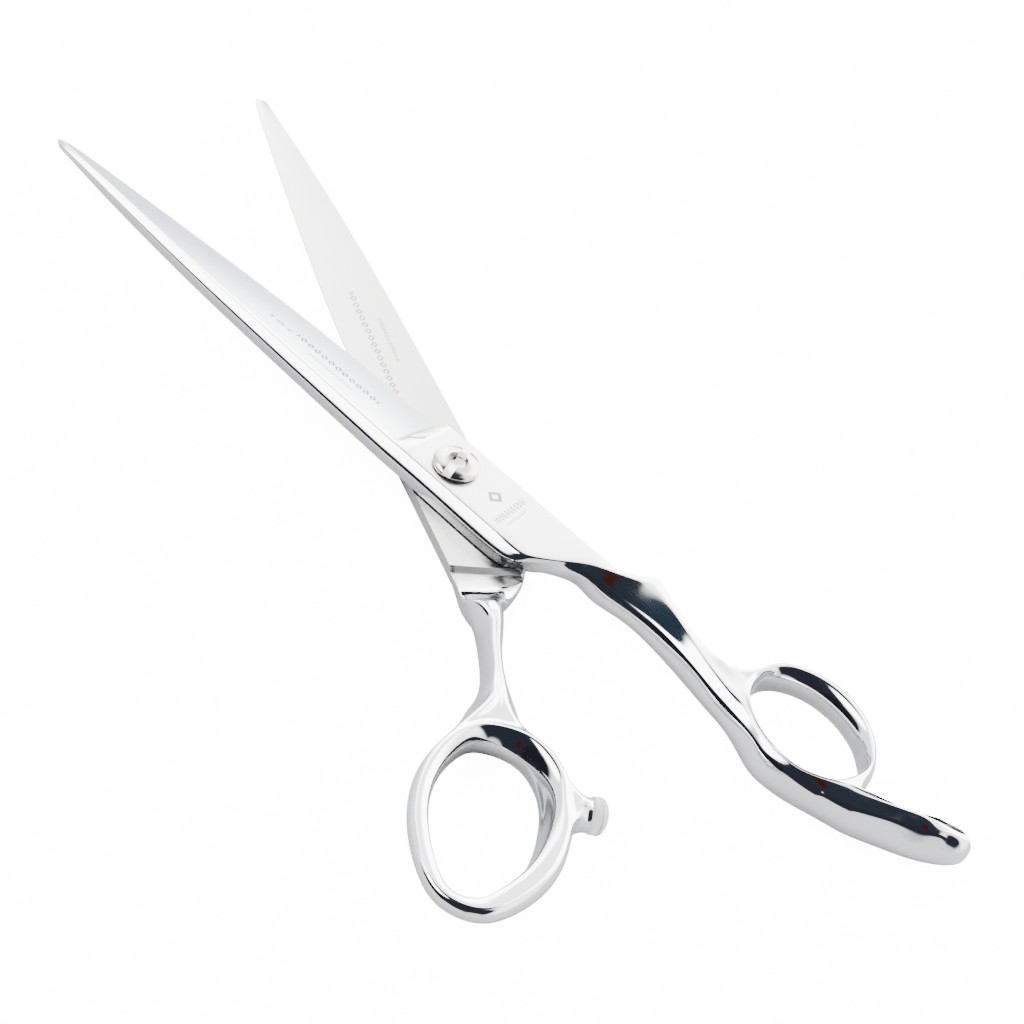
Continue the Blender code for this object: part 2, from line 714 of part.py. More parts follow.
def make_bumper():
    """Soft domed cap with a stem that pushes into the boss. Its own +Z points to the tip."""
    side = 1.3
    dome = []
    for step in range(6):
        turn = math.radians(18 * step)
        dome.append((BUMPER_R * math.cos(turn), side + (BUMPER_LENGTH - side) * math.sin(turn)))
    dome[-1] = (0.0, BUMPER_LENGTH)
    profile = [(0.0, -STEM_LENGTH), (STEM_R, -STEM_LENGTH), (STEM_R, 0.0), (BUMPER_R - 0.15, 0.0),
               (BUMPER_R, 0.3)] + dome
    return turned("bumper", profile, sides=32)


def screw_holes(finger_half, thumb_half):
    """Counterbore and bush hole in the finger half, thread hole and washer seat in the thumb."""
    counterbore = cylinder("counterbore", COUNTERBORE_R, COUNTERBORE_FLOOR, PLATE + 1)
    bush_hole = cylinder("bush_hole", SLEEVE_R + GAP, -1, COUNTERBORE_FLOOR + 0.5)
    washer_seat = cylinder("washer_seat", GLIDE_R + GAP, -1, RIDE_GAP + GLIDE_THICK + GAP)
    thread_hole = cylinder("thread_hole", THREAD_R + GAP, -1, PLATE + 1)
    cut(finger_half, counterbore)
    cut(finger_half, bush_hole)
    cut(thumb_half, washer_seat)
    cut(thumb_half, thread_hole)
    return [counterbore, bush_hole], [washer_seat, thread_hole]


def stem_hole(thumb_half):
    depth = STEM_LENGTH + 2 * GAP
    hole = cylinder("stem_hole", STEM_R + GAP, BOSS_END - depth, BOSS_END + 1, sides=32)
    cut(thumb_half, hole)
    place_on_bumper_axis(hole, 0.0)
    return hole


def place_on_bumper_axis(item, distance):
    """Turns the item's +Z along the bumper's direction, this far from the ring's bar."""
    start, way = bumper_axis()
    centre = start + way * distance
    item.location = (centre.x * MM, centre.y * MM, 0)
    item.rotation_euler = Vector((way.x, way.y, 0)).to_track_quat("Z", "Y").to_euler()


def empty(name, height, rotation):
    item = bpy.data.objects.new(name, None)
    bpy.context.scene.collection.objects.link(item)
    item.location = (0, 0, height * MM)
    item.rotation_euler = rotation
    return item


def assemble():
    """Finger half fixed on the ride plane, thumb half turned over about the pivot axis."""
    finger_half = make_finger_half()
    thumb_half = make_thumb_half()
    screw, screw_cutters = make_pivot_screw()
    bush = make_pivot_bush()
    spring_washer = make_spring_washer()
    glide_washer = make_glide_washer()
    bumper = make_bumper()
    finger_cutters, thumb_cutters = screw_holes(finger_half, thumb_half)
    thumb_cutters.append(stem_hole(thumb_half))
    place_on_bumper_axis(bumper, BOSS_END + GAP)
    ride_plane = empty("ride_plane", PLATE, (0, 0, 0))
    thumb_pivot = empty("thumb_pivot", PLATE, (math.pi, 0, -math.radians(OPEN_ANGLE)))
    screw_axis = empty("screw_axis", PLATE, (0, 0, math.radians(SLOT_ANGLE)))
    for item in [finger_half, bush, spring_washer, glide_washer] + finger_cutters:
        item.parent = ride_plane
    for item in [thumb_half, bumper] + thumb_cutters:
        item.parent = thumb_pivot
    for item in [screw] + screw_cutters:
        item.parent = screw_axis
    polished_steel = metal("polished_steel", (0.82, 0.83, 0.85), 0.12)
    screw_steel = metal("screw_steel", (0.74, 0.72, 0.68), 0.22)
    spring_steel = metal("spring_steel", (0.60, 0.60, 0.62), 0.30)
    nylon = metal("white_nylon", (0.90, 0.90, 0.86), 0.45, 0.0)
    silicone = metal("clear_silicone", (0.90, 0.92, 0.88), 0.25, 0.0)
    finishes = {finger_half: polished_steel, thumb_half: polished_steel, screw: screw_steel,
                spring_washer: spring_steel, bush: nylon, glide_washer: nylon, bumper: silicone}
    for item, finish in finishes.items():
        item.data.materials.append(finish)


clear_scene()
assemble()
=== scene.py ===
"""Looks of the hair cutting shears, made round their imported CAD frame.

The frame is in metres, with +Z up the pivot axis. Cross-sections are written in millimetres in the
frame of one half: x towards the handle, y towards the cutting edge, z = 0 where the halves meet
and z = PLATE on the outer face.
"""

import math

import bmesh
import bpy
import numpy as np
from mathutils import Matrix, Vector


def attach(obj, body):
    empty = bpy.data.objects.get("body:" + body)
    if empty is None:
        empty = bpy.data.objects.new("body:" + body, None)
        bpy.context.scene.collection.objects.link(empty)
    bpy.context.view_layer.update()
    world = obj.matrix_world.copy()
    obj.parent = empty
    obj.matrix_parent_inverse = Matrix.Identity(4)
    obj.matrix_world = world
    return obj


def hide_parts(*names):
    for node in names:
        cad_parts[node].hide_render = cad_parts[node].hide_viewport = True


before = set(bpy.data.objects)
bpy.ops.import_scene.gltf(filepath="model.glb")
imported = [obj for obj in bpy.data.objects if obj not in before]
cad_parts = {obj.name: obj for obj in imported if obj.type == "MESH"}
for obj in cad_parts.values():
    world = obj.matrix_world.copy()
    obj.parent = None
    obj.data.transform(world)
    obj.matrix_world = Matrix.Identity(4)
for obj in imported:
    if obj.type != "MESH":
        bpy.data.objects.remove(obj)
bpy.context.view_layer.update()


# ---- Finger half ----
# One drop forging of cutlery steel: blade, flat pivot block, shank, finger ring and finger rest.
# The blade is hollow ground and its outer facet brushed, the block is lapped flat, and the rest
# is buffed to a mirror. Rows of etched diamonds mark the blade and the block.

MM = 0.001
BLADE = 95.0            # pivot to tip
PLATE = 3.7             # thickness of one half at the pivot
RIDE_GAP = 0.15         # each half's inner face stands this far from the ride plane
GAP = 0.3               # between pieces that touch
EDGE_LAND = 0.25        # thickness left at the cutting edge
HOLLOW = 0.12           # depth of the hollow grind on the inner face
FACET_CROWN = 0.05      # how far the outer facet bulges, as a share of the ridge's height
BLOCK_EDGE_SIDE = 7.0   # half width at the ride plane, cutting edge side
BLOCK_SPINE = 6.86      # half width, spine side
FLAT_HIGH = 6.1         # the outer flat runs from FLAT_LOW to FLAT_HIGH
FLAT_LOW = -5.07
WALL = 2.2              # height of the spine wall below its bevel
STEP = -9.7             # where the ground facet ends at the pivot block
COUNTERBORE_R = 3.7     # sunk seat of the bush and the washer, hidden by the screw's head
COUNTERBORE_FLOOR = 2.15
SLEEVE_R = 2.7          # the bush's sleeve
FINE = 4                # subdivision of a forging
BUFFED_COLOUR = (0.74, 0.745, 0.76)
LAPPED_COLOUR = (0.86, 0.855, 0.85)
FACET_COLOUR = (0.84, 0.86, 0.89)
HOLLOW_COLOUR = (0.56, 0.555, 0.54)
ETCHED_COLOUR = (0.03, 0.03, 0.03, 1.0)
RING_SIDES = 8          # points in every cross-section
INNER_LINES = (0, 6)    # corners of a section that lie on its inner side
SOFT_CREASE = 0.4       # an edge that is blended a little by the buffing wheel

# Finishes of a forging, in the order of its material slots.
MIRROR, LAPPED, FACET, RIDE = range(4)
BLADE_FINISH = {2: FACET, 3: FACET, 6: RIDE, 7: RIDE}
BLOCK_FINISH = {2: LAPPED, 3: LAPPED, 6: RIDE, 7: RIDE}
SHANK_FINISH = {2: LAPPED, 3: LAPPED}


def add_node(material, kind, inputs, **settings):
    """Adds a shader node. Each input is a number, a colour or another node's output."""
    node = material.node_tree.nodes.new(kind)
    for setting, value in settings.items():
        setattr(node, setting, value)
    for socket, value in inputs.items():
        if isinstance(value, bpy.types.NodeSocket):
            material.node_tree.links.new(value, node.inputs[socket])
        else:
            node.inputs[socket].default_value = value
    return node


def new_finish(name, colour, metallic=1.0):
    """Material whose Principled shader starts with this colour. Returns it with its shader."""
    material = bpy.data.materials.new(name)
    material.use_nodes = True
    shader = material.node_tree.nodes["Principled BSDF"]
    shader.inputs["Base Color"].default_value = (*colour, 1.0)
    shader.inputs["Metallic"].default_value = metallic
    return material, shader


def own_place(material, stretch):
    """A point's place on its piece, in metres, stretched by three factors."""
    place = add_node(material, "ShaderNodeTexCoord", {})
    return add_node(material, "ShaderNodeVectorMath",
                    {0: place.outputs["Object"], 1: stretch}, operation="MULTIPLY").outputs[0]


def between(material, share, low, high):
    """Number that goes from low to high as share goes from 0 to 1."""
    return add_node(material, "ShaderNodeMapRange",
                    {"Value": share, "To Min": low, "To Max": high}).outputs["Result"]


def buffed_steel():
    """Mirror finish from the buffing wheel, with faint haze and hair-fine wipe marks."""
    material, shader = new_finish("buffed_steel", BUFFED_COLOUR)
    haze = add_node(material, "ShaderNodeTexNoise",
                    {"Vector": own_place(material, (90, 90, 90)), "Scale": 1.0, "Detail": 4.0})
    wipes = add_node(material, "ShaderNodeTexNoise",
                     {"Vector": own_place(material, (160, 2600, 2600)), "Scale": 1.0,
                      "Detail": 3.0})
    dullness = add_node(material, "ShaderNodeMath",
                        {0: haze.outputs["Fac"], 1: wipes.outputs["Fac"]}, operation="MULTIPLY")
    link = material.node_tree.links.new
    link(between(material, dullness.outputs[0], 0.03, 0.17), shader.inputs["Roughness"])
    relief = add_node(material, "ShaderNodeBump",
                      {"Height": haze.outputs["Fac"], "Strength": 0.015, "Distance": 0.001})
    link(relief.outputs["Normal"], shader.inputs["Normal"])
    return material


def ornament(material, centre, size, heading, pitch):
    """Row of etched diamonds. centre and size are in millimetres, heading in degrees."""
    place = add_node(material, "ShaderNodeTexCoord", {})
    row = add_node(material, "ShaderNodeMapping",
                   {"Vector": place.outputs["Object"],
                    "Location": (centre[0] * MM, centre[1] * MM, 0),
                    "Rotation": (0, 0, math.radians(heading)),
                    "Scale": (pitch * MM, size[1] * MM, 1)}, vector_type="TEXTURE")
    axes = add_node(material, "ShaderNodeSeparateXYZ", {"Vector": row.outputs[0]})
    along, across = axes.outputs["X"], axes.outputs["Y"]

    def math_node(operation, *values):
        return add_node(material, "ShaderNodeMath", dict(enumerate(values)),
                        operation=operation).outputs[0]

    from_middle = math_node("ADD", math_node("PINGPONG", along, 0.5),
                            math_node("ABSOLUTE", across))
    diamond = math_node("LESS_THAN", from_middle, 0.44)
    core = math_node("GREATER_THAN", from_middle, 0.2)
    inside = math_node("LESS_THAN", math_node("ABSOLUTE", along), size[0] / pitch / 2)
    return math_node("MULTIPLY", math_node("MULTIPLY", diamond, core), inside)


def ground_steel(name, colour, marks, grain, roughness, depth):
    """Ground or lapped finish: fine parallel grinding lines, and rows of etched diamonds.

    marks lists (centre, size, heading, pitch, darkness) of each row. grain is how closely the
    lines run along x and y, and depth is how strongly they show.
    """
    material, shader = new_finish(name, colour)
    lines = add_node(material, "ShaderNodeTexNoise",
                     {"Vector": own_place(material, (*grain, 900)), "Scale": 1.0,
                      "Detail": 3.0, "Roughness": 0.65})
    cloud = add_node(material, "ShaderNodeTexNoise",
                     {"Vector": own_place(material, (70, 140, 140)), "Scale": 1.0,
                      "Detail": 2.0})
    clouded = [channel * 0.94 for channel in colour]
    surface = add_node(material, "ShaderNodeMix",
                       {"Factor": cloud.outputs["Fac"], 6: (*clouded, 1), 7: (*colour, 1)},
                       data_type="RGBA").outputs[2]
    wear = between(material, lines.outputs["Fac"], roughness - 0.07, roughness + 0.07)
    for centre, size, heading, pitch, darkness in marks:
        etched = ornament(material, centre, size, heading, pitch)
        part_etched = add_node(material, "ShaderNodeMath", {0: etched, 1: darkness},
                               operation="MULTIPLY").outputs[0]
        surface = add_node(material, "ShaderNodeMix",
                           {"Factor": part_etched, 6: surface, 7: ETCHED_COLOUR},
                           data_type="RGBA").outputs[2]
    link = material.node_tree.links.new
    link(surface, shader.inputs["Base Color"])
    link(wear, shader.inputs["Roughness"])
    relief = add_node(material, "ShaderNodeBump",
                      {"Height": lines.outputs["Fac"], "Strength": depth, "Distance": 0.0002})
    link(relief.outputs["Normal"], shader.inputs["Normal"])
    return material


def blade_section(x, edge, spine, wall, ridge_in, ridge):
    """Ground blade: hollow inner face, convex facet up to a ridge, bevel, spine wall."""
    ridge_y = spine + ridge_in
    facet_y = (edge + ridge_y) / 2
    facet_z = (EDGE_LAND + ridge) / 2 + FACET_CROWN * ridge
    return [
        (x, edge, RIDE_GAP),
        (x, edge + 0.02, RIDE_GAP + EDGE_LAND / 2),
        (x, edge, RIDE_GAP + EDGE_LAND),
        (x, facet_y, facet_z),
        (x, ridge_y, ridge),
        (x, spine, wall),
        (x, spine, RIDE_GAP),
        (x, (edge + spine) / 2, RIDE_GAP + HOLLOW),
    ]


def block_section(edge_x, spine_x, shoulder=0.0):
    """Pivot block: flat outer face between a small side wall and the bevelled spine."""
    middle = (edge_x + spine_x) / 2
    return [
        (edge_x, BLOCK_EDGE_SIDE, RIDE_GAP),
        (edge_x + 0.7 * shoulder, 6.6, 2.6),
        (edge_x + shoulder, FLAT_HIGH, PLATE),
        (middle + 0.9 * shoulder, 0.5, PLATE),
        (spine_x + 0.6 * shoulder, FLAT_LOW, PLATE),
        (spine_x, -BLOCK_SPINE, WALL),
        (spine_x, -BLOCK_SPINE, RIDE_GAP),
        (middle, 0.0, RIDE_GAP),
    ]


def shank_section(crease, upper, high, side, inner, bulge, foot=0.5):
    """Forged shank of the finger half, with a narrow flat along its top.

    The flat lies between the points upper and high. A dished face falls from upper to crease,
    and a wall from there, bulging outwards, to the rounded inner face. side is the (x, y) of
    the side below the flat, and foot is how far down the wall's foot is.
    """
    low = Vector(crease[:2])
    side = Vector(side)
    across = side - low
    wall = low - across.normalized() * bulge
    corner = low + across * 0.85
    back = low + across * 0.42
    middle = (Vector(upper) + Vector(high)) / 2
    return [
        (corner.x, corner.y, 0.75 * inner),
        (side.x, side.y, 0.1 * high[2]),
        tuple(high),
        tuple(middle),
        tuple(upper),
        tuple(crease),
        (wall.x, wall.y, foot * inner),
        (back.x, back.y, inner),
    ]


def ring_section(centre, outward, half_width, inner, outer, flare=0.0, lip=0.14):
    """Bar of a finger ring: rounded outside, flatter inside wall that may flare at its foot.

    lip is the share of the height by which the inner face falls towards the hole.
    """
    centre, outward = Vector(centre), Vector(outward).normalized()
    middle_z = (inner + outer) / 2

    def at(distance, z):
        point = centre + outward * distance
        return (point.x, point.y, z)

    return [
        at(0.7 * half_width, inner + 0.06 * (outer - inner)),
        at(half_width, middle_z),
        at(0.62 * half_width, outer - 0.12 * (outer - inner)),
        at(-0.1 * half_width - 0.4 * flare, outer),
        at(-0.8 * half_width - flare, outer - 0.22 * (outer - inner)),
        at(-half_width - 0.4 * flare, middle_z),
        at(-0.8 * half_width, inner + lip * (outer - inner)),
        at(-0.1 * half_width, inner),
    ]


class Cage:
    """Quad cage whose smooth surface passes through every stated point."""

    def __init__(self):
        self.points = []
        self.faces = []
        self.creases = {}
        self.finishes = []

    def add_section(self, section):
        """Adds a cross-section's points, and returns their numbers."""
        start = len(self.points)
        self.points.extend(section)
        return [start + i for i in range(RING_SIDES)]

    def join(self, first, second, open_lines=(), finish=None):
        """Quads between two sections; a line in open_lines is left out for a branch. finish
        gives a line's finish where it isn't the mirror one."""
        for i in range(RING_SIDES):
            if i in open_lines:
                continue
            j = (i + 1) % RING_SIDES
            self.faces.append((first[i], first[j], second[j], second[i]))
            self.finishes.append((finish or {}).get(i, MIRROR))

    def cap(self, section, centre):
        """Closes an end with four quads round a middle point."""
        middle = len(self.points)
        self.points.append(centre)
        for i in range(1, RING_SIDES, 2):
            j, k = (i + 1) % RING_SIDES, (i + 2) % RING_SIDES
            self.faces.append((middle, section[i], section[j], section[k]))
            self.finishes.append(MIRROR)

    def crease(self, chain, value):
        """Sharpens the edges along a chain of points: 1 is a corner, less is a blend."""
        for a, b in zip(chain, chain[1:]):
            self.creases[tuple(sorted((a, b)))] = value

    def crease_line(self, sections, line, value):
        self.crease([section[line] for section in sections], value)

    def crease_loop(self, section, value=1.0):
        self.crease(section + section[:1], value)

    def fitted_points(self, rounds=8):
        """Cage corners for which the limit surface meets the stated points."""
        target = np.array(self.points, dtype=float)
        cage = target.copy()
        edges = [set() for _ in target]
        diagonals = [[] for _ in target]
        for face in self.faces:
            for i, corner in enumerate(face):
                edges[corner].update((face[i - 1], face[(i + 1) % 4]))
                diagonals[corner].append(face[(i + 2) % 4])
        sharp = [[] for _ in target]
        for (a, b), value in self.creases.items():
            if value >= SOFT_CREASE:
                sharp[a].append(b)
                sharp[b].append(a)
        for _ in range(rounds):
            limit = cage.copy()
            for v in range(len(target)):
                if len(sharp[v]) > 2 or not edges[v]:
                    continue
                if len(sharp[v]) == 2:
                    limit[v] = (4 * cage[v] + cage[sharp[v]].sum(0)) / 6
                    continue
                n = len(edges[v])
                near = 4 * cage[list(edges[v])].sum(0) + cage[diagonals[v]].sum(0)
                limit[v] = (n * n * cage[v] + near) / (n * (n + 5))
            cage += target - limit
        return cage

    def build(self, name, level):
        """Makes the object, with its creases and finishes, smoothed this many times."""
        mesh = bpy.data.meshes.new(name)
        cage = self.fitted_points() * MM
        mesh.from_pydata([tuple(p) for p in cage], [], self.faces)
        mesh.polygons.foreach_set("material_index", self.finishes)
        shape = bmesh.new()
        shape.from_mesh(mesh)
        bmesh.ops.recalc_face_normals(shape, faces=shape.faces)
        layer = shape.edges.layers.float.new("crease_edge")
        for edge in shape.edges:
            key = tuple(sorted((edge.verts[0].index, edge.verts[1].index)))
            edge[layer] = self.creases.get(key, 0.0)
        under_branches = [vertex for vertex in shape.verts if not vertex.link_faces]
        bmesh.ops.delete(shape, geom=under_branches, context="VERTS")
        shape.to_mesh(mesh)
        shape.free()
        mesh.shade_smooth()
        item = bpy.data.objects.new(name, mesh)
        bpy.context.scene.collection.objects.link(item)
        smooth = item.modifiers.new("smooth", "SUBSURF")
        smooth.levels = level
        smooth.render_levels = level
        return item


BLADE_STATIONS = [
    # x, edge, spine, wall, ridge inset, ridge height
    (-94.2, 0.35, -0.95, 0.65, 0.5, 0.95),
    (-91.0, 1.05, -1.75, 1.1, 0.8, 1.45),
    (-80.0, 2.35, -3.1, 1.65, 1.1, 2.25),
    (-62.0, 4.2, -4.75, 2.0, 1.3, 2.95),
    (-42.0, 5.95, -5.85, 2.1, 1.5, 3.35),
    (-22.0, 6.85, -6.55, 2.15, 1.7, 3.6),
    (STEP, 6.85, -BLOCK_SPINE, WALL, BLOCK_SPINE + FLAT_LOW, PLATE),
]


def add_blade_and_block(cage):
    """Blade, step and pivot block. Returns the sections from the tip to the block's end."""
    sections = []
    for station in BLADE_STATIONS:
        sections.append(cage.add_section(blade_section(*station)))
    sections.append(cage.add_section(block_section(STEP + 0.1, STEP + 0.4, shoulder=2.5)))
    sections.append(cage.add_section(block_section(3.5, 3.5)))
    sections.append(cage.add_section(block_section(15.5, 16.2)))
    cage.cap(sections[0], (-BLADE, -0.3, 0.5))
    cage.crease_loop(sections[6])
    cage.crease_loop(sections[7])
    for line in (0, 2, 6):
        cage.crease_line(sections, line, 1.0)
    cage.crease_line(sections, 4, 0.6)
    cage.crease_line(sections, 5, SOFT_CREASE)
    cage.crease_line(sections[:7], 1, 1.0)
    return sections


def join_all(cage, sections, openings, finishes=()):
    """Joins a run of sections. openings maps a section's index to the lines left open there,
    and finishes lists the finish of each stretch from the first."""
    for i, (first, second) in enumerate(zip(sections, sections[1:])):
        finish = finishes[i] if i < len(finishes) else None
        cage.join(first, second, openings.get(i, ()), finish)


def branch_rim(a, b, c):
    """Rim of the 2 x 2 patch on the edge side of three sections, in section order from a to c."""
    return [a[0], a[1], a[2], b[2], c[2], c[1], c[0], b[0]]


HOLE_CENTRE = Vector((71.2, 9.0))
HOLE_LONG = 11.5
HOLE_SHORT = 8.0
HOLE_TILT = math.radians(-13.4)


def hole_point(angle):
    """Point on the finger hole's oval at a direction given in degrees."""
    turn = math.radians(angle) - HOLE_TILT
    radius = 1 / math.hypot(math.cos(turn) / HOLE_LONG, math.sin(turn) / HOLE_SHORT)
    way = Vector((math.cos(math.radians(angle)), math.sin(math.radians(angle))))
    return HOLE_CENTRE + way * radius, way


def finger_neck(cage):
    """Slanted end of the block, where the bar leaves it beside the other half's bar."""
    first = [
        (20.6, 7.0, RIDE_GAP), (20.6, 6.6, 2.6), (20.8, FLAT_HIGH, PLATE), (20.8, 0.9, PLATE),
        (20.9, -4.2, PLATE), (20.6, -5.2, 2.7), (19.4, -5.2, RIDE_GAP), (20.0, 1.0, RIDE_GAP),
    ]
    second = [
        (25.2, 7.0, 0.3), (25.2, 6.6, 2.6), (25.2, 6.1, PLATE), (24.9, 3.0, PLATE),
        (24.8, 0.0, 3.65), (24.5, -0.8, 2.8), (22.9, -1.9, 0.3), (23.8, 2.6, 0.35),
    ]
    third = [
        (29.0, 6.9, -0.9), (28.9, 7.2, 2.0), (28.6, 6.5, 3.5), (28.2, 5.1, 3.6),
        (27.8, 3.5, 3.6), (27.4, 0.8, 2.8), (26.9, 1.3, -0.3), (27.9, 4.3, -0.9),
    ]
    return [cage.add_section(points) for points in (first, second, third)]


FINGER_BAR = [
    # low crease, upper crease, high edge, inner z, bulge of the wall
    ((30.9, 2.3, 2.4), (31.6, 6.1, 3.5), (32.0, 7.6, 3.3), -2.2, 0.4),
    ((36.0, 3.4, 2.2), (36.3, 9.4, 3.4), (36.0, 11.5, 3.2), -2.7, 0.4),
    ((41.1, 4.0, 2.1), (41.4, 8.3, 3.3), (41.8, 9.3, 3.1), -2.9, 0.65),
    ((46.2, 3.8, 2.0), (46.4, 6.7, 3.2), (46.9, 7.7, 3.05), -3.2, 0.8),
    ((51.4, 2.8, 1.95), (51.4, 4.9, 3.15), (52.0, 6.9, 3.05), -3.3, 0.6),
    ((55.6, 1.9, 1.95), (56.1, 3.7, 3.1), (55.5, 7.3, 2.95), -3.3, 0.6),
    ((59.0, 1.3, 1.95), (59.6, 3.0, 3.05), (58.6, 7.9, 2.9), -3.3, 0.6),
]
FOOT_SECTIONS = 2       # the last two of these, and the first at the rim, carry the ring's foot
RING_HALF_HEIGHT = 2.9
RIM_STATIONS = [
    # low crease and its drop, share of the width at the upper crease, hole angle, height,
    # rounding, bulge of the wall and how far down its foot is
    ((62.6, 0.7), 1.05, 0.45, 196, 3.05, 1.2, 0.75, 0.6),
    ((66.8, -0.5), 1.05, 0.55, 232, 3.1, 0.7, 1.0, 0.7),
    ((71.0, -1.7), 0.95, 0.66, 268, 3.15, 0.7, 0.95, 0.72),
    ((76.5, -1.5), 0.9, 0.72, 303, 3.15, 0.7, 0.7, 0.7),
    ((81.0, -0.3), 0.85, 0.74, 334, 3.25, 0.6, 0.75, 0.68),
]
TANG_STATIONS = [
    # low crease, high edge, height, bulge of the wall and how far down its foot is
    ((84.3, 0.8), (83.0, 4.9), 3.35, 0.8, 0.66),
    ((87.3, 2.2), (85.2, 5.7), 3.4, 1.0, 0.7),
    ((91.9, 5.4), (90.4, 7.9), 3.4, 1.4, 0.78),
    ((96.1, 7.9), (94.4, 10.4), 3.3, 1.5, 0.78),
    ((99.8, 10.5), (97.9, 12.6), 2.95, 1.35, 0.74),
    ((102.1, 12.8), (100.5, 14.0), 2.3, 0.95, 0.6),
]


def finger_bar(cage):
    """Bar from the neck, under the finger hole, to the end of the finger rest."""
    sections = []
    for crease, upper, high, inner, bulge in FINGER_BAR:
        shape = shank_section(crease, upper, high, high[:2], inner, bulge)
        sections.append(cage.add_section(shape))
    for low, drop, share, angle, height, rounding, bulge, foot in RIM_STATIONS:
        side = hole_point(angle)[0]
        low = Vector(low)
        high = side - (side - low).normalized() * rounding
        upper = low.lerp(high, share)
        shape = shank_section((*low, height - drop), (*upper, height), (*high, height), side,
                              -height, bulge, foot)
        sections.append(cage.add_section(shape))
    for low, high, height, bulge, foot in TANG_STATIONS:
        low, high = Vector(low), Vector(high)
        side = high + (high - low).normalized() * 0.4
        upper = low.lerp(high, 0.72)
        shape = shank_section((*low, height - 0.85), (*upper, height), (*high, height), side,
                              -height, bulge, foot)
        sections.append(cage.add_section(shape))
    cage.cap(sections[-1], (102.4, 14.4, 0.0))
    return sections


def finger_ring(cage, left, right):
    """Arch of the finger ring, from its left foot over the hole to its right foot."""
    arch = []
    thickness = [(172, 2.3), (152, 3.0), (131, 3.8), (110, 4.2), (88, 4.1), (66, 3.7),
                 (45, 3.2), (25, 2.5), (6, 1.9)]
    for angle, thick in thickness:
        inside, way = hole_point(angle)
        centre = inside + way * thick / 2
        shape = ring_section(centre, way, thick / 2, -RING_HALF_HEIGHT, RING_HALF_HEIGHT)
        arch.append(cage.add_section(shape))
    start = branch_rim(*left)
    end = branch_rim(*reversed(right))
    join_all(cage, [start] + arch + [end], {})


def make_finger_half():
    """Blade, block, neck and bar in one run of sections, with the ring branching off its side."""
    cage = Cage()
    block = add_blade_and_block(cage)
    neck = finger_neck(cage)
    bar = finger_bar(cage)
    sections = block + neck + bar
    left = len(block) + len(neck) + len(FINGER_BAR) - FOOT_SECTIONS
    right = left + FOOT_SECTIONS + len(RIM_STATIONS) - 1
    both_lines = (0, 1)
    openings = {i: both_lines for i in (left, left + 1, right, right + 1)}
    blade = [BLADE_FINISH] * (len(BLADE_STATIONS) - 1) + [None]
    flat = [BLOCK_FINISH] * (len(block) + len(neck) - len(blade) - 1)
    strip = [SHANK_FINISH] * (left + 2 - len(blade) - len(flat))
    join_all(cage, sections, openings, blade + flat + strip)
    finger_ring(cage, sections[left:left + 3], sections[right:right + 3])
    neck_start = len(block) - 1
    bump = len(block) + len(neck) + 1
    for line in INNER_LINES:
        cage.crease_line(sections[neck_start:neck_start + 3], line, 1.0)
    cage.crease_line(sections[neck_start:bump + 1], 2, 1.0)
    cage.crease_line(sections[bump:left + 1], 2, 0.7)
    cage.crease_line(sections[right + 2:-1], 2, 0.7)
    cage.crease_line(sections[neck_start:left + 3], 4, SOFT_CREASE)
    cage.crease_line(sections[left + 2:left + 5], 4, SOFT_CREASE)
    cage.crease_line(sections[neck_start:right + 1], 5, SOFT_CREASE)
    cage.crease_line(sections[right:-1], 5, 0.55)
    cage.crease(sections[bump][1:5], 0.7)
    return cage.build("finger_half", FINE)


def cylinder(name, radius, low, high, sides=48):
    """Closed cylinder along Z between two heights, in millimetres."""
    shape = bmesh.new()
    bmesh.ops.create_cone(shape, cap_ends=True, segments=sides, radius1=radius * MM,
                          radius2=radius * MM, depth=(high - low) * MM)
    bmesh.ops.translate(shape, verts=shape.verts, vec=(0, 0, (low + high) / 2 * MM))
    mesh = bpy.data.meshes.new(name)
    shape.to_mesh(mesh)
    shape.free()
    item = bpy.data.objects.new(name, mesh)
    bpy.context.scene.collection.objects.link(item)
    return item


def cut(item, cutter):
    """Cuts a shape out of a piece."""
    cutter.hide_render = True
    cutter.display_type = "WIRE"
    boolean = item.modifiers.new(cutter.name, "BOOLEAN")
    boolean.operation = "DIFFERENCE"
    boolean.solver = "EXACT"
    boolean.object = cutter


def settle(item, cutters, corner=60):
    """Applies the modifiers, removes the cutters, and keeps corners above this angle sharp."""
    bpy.context.view_layer.update()
    shape = item.evaluated_get(bpy.context.evaluated_depsgraph_get())
    mesh = bpy.data.meshes.new_from_object(shape)
    item.modifiers.clear()
    item.data = mesh
    mesh.set_sharp_from_angle(angle=math.radians(corner))
    for cutter in cutters:
        bpy.data.objects.remove(cutter, do_unlink=True)


# Each row of the ornament: middle, size, heading, pitch and how dark it is etched.
block_marks = [((12.1, 0.4), (8.0, 1.9), 95, 0.8, 0.85),
               ((8.5, 0.6), (3.4, 3.4), 95, 3.4, 0.8),
               ((13.8, 0.1), (5.0, 0.6), 95, 0.6, 0.7)]
facet_marks = [((-27.5, 0.6), (19.2, 1.7), 1, 1.6, 0.95),
               ((-27.5, -1.6), (10.0, 0.9), 1, 0.8, 0.85),
               ((-40.5, -0.2), (5.0, 1.1), 1, 2.5, 0.9)]
hollow_marks = [((-32.5, 1.0), (25.6, 1.6), 2, 1.6, 0.75),
                ((-33.4, -2.0), (10.4, 1.1), 2, 0.8, 0.7)]
buffed = buffed_steel()
hollow_ground = ground_steel("hollow_ground_steel", HOLLOW_COLOUR, hollow_marks,
                             (3600, 300), 0.24, 0.05)
marked_block = ground_steel("marked_block_steel", LAPPED_COLOUR, block_marks,
                            (500, 5200), 0.30, 0.05)
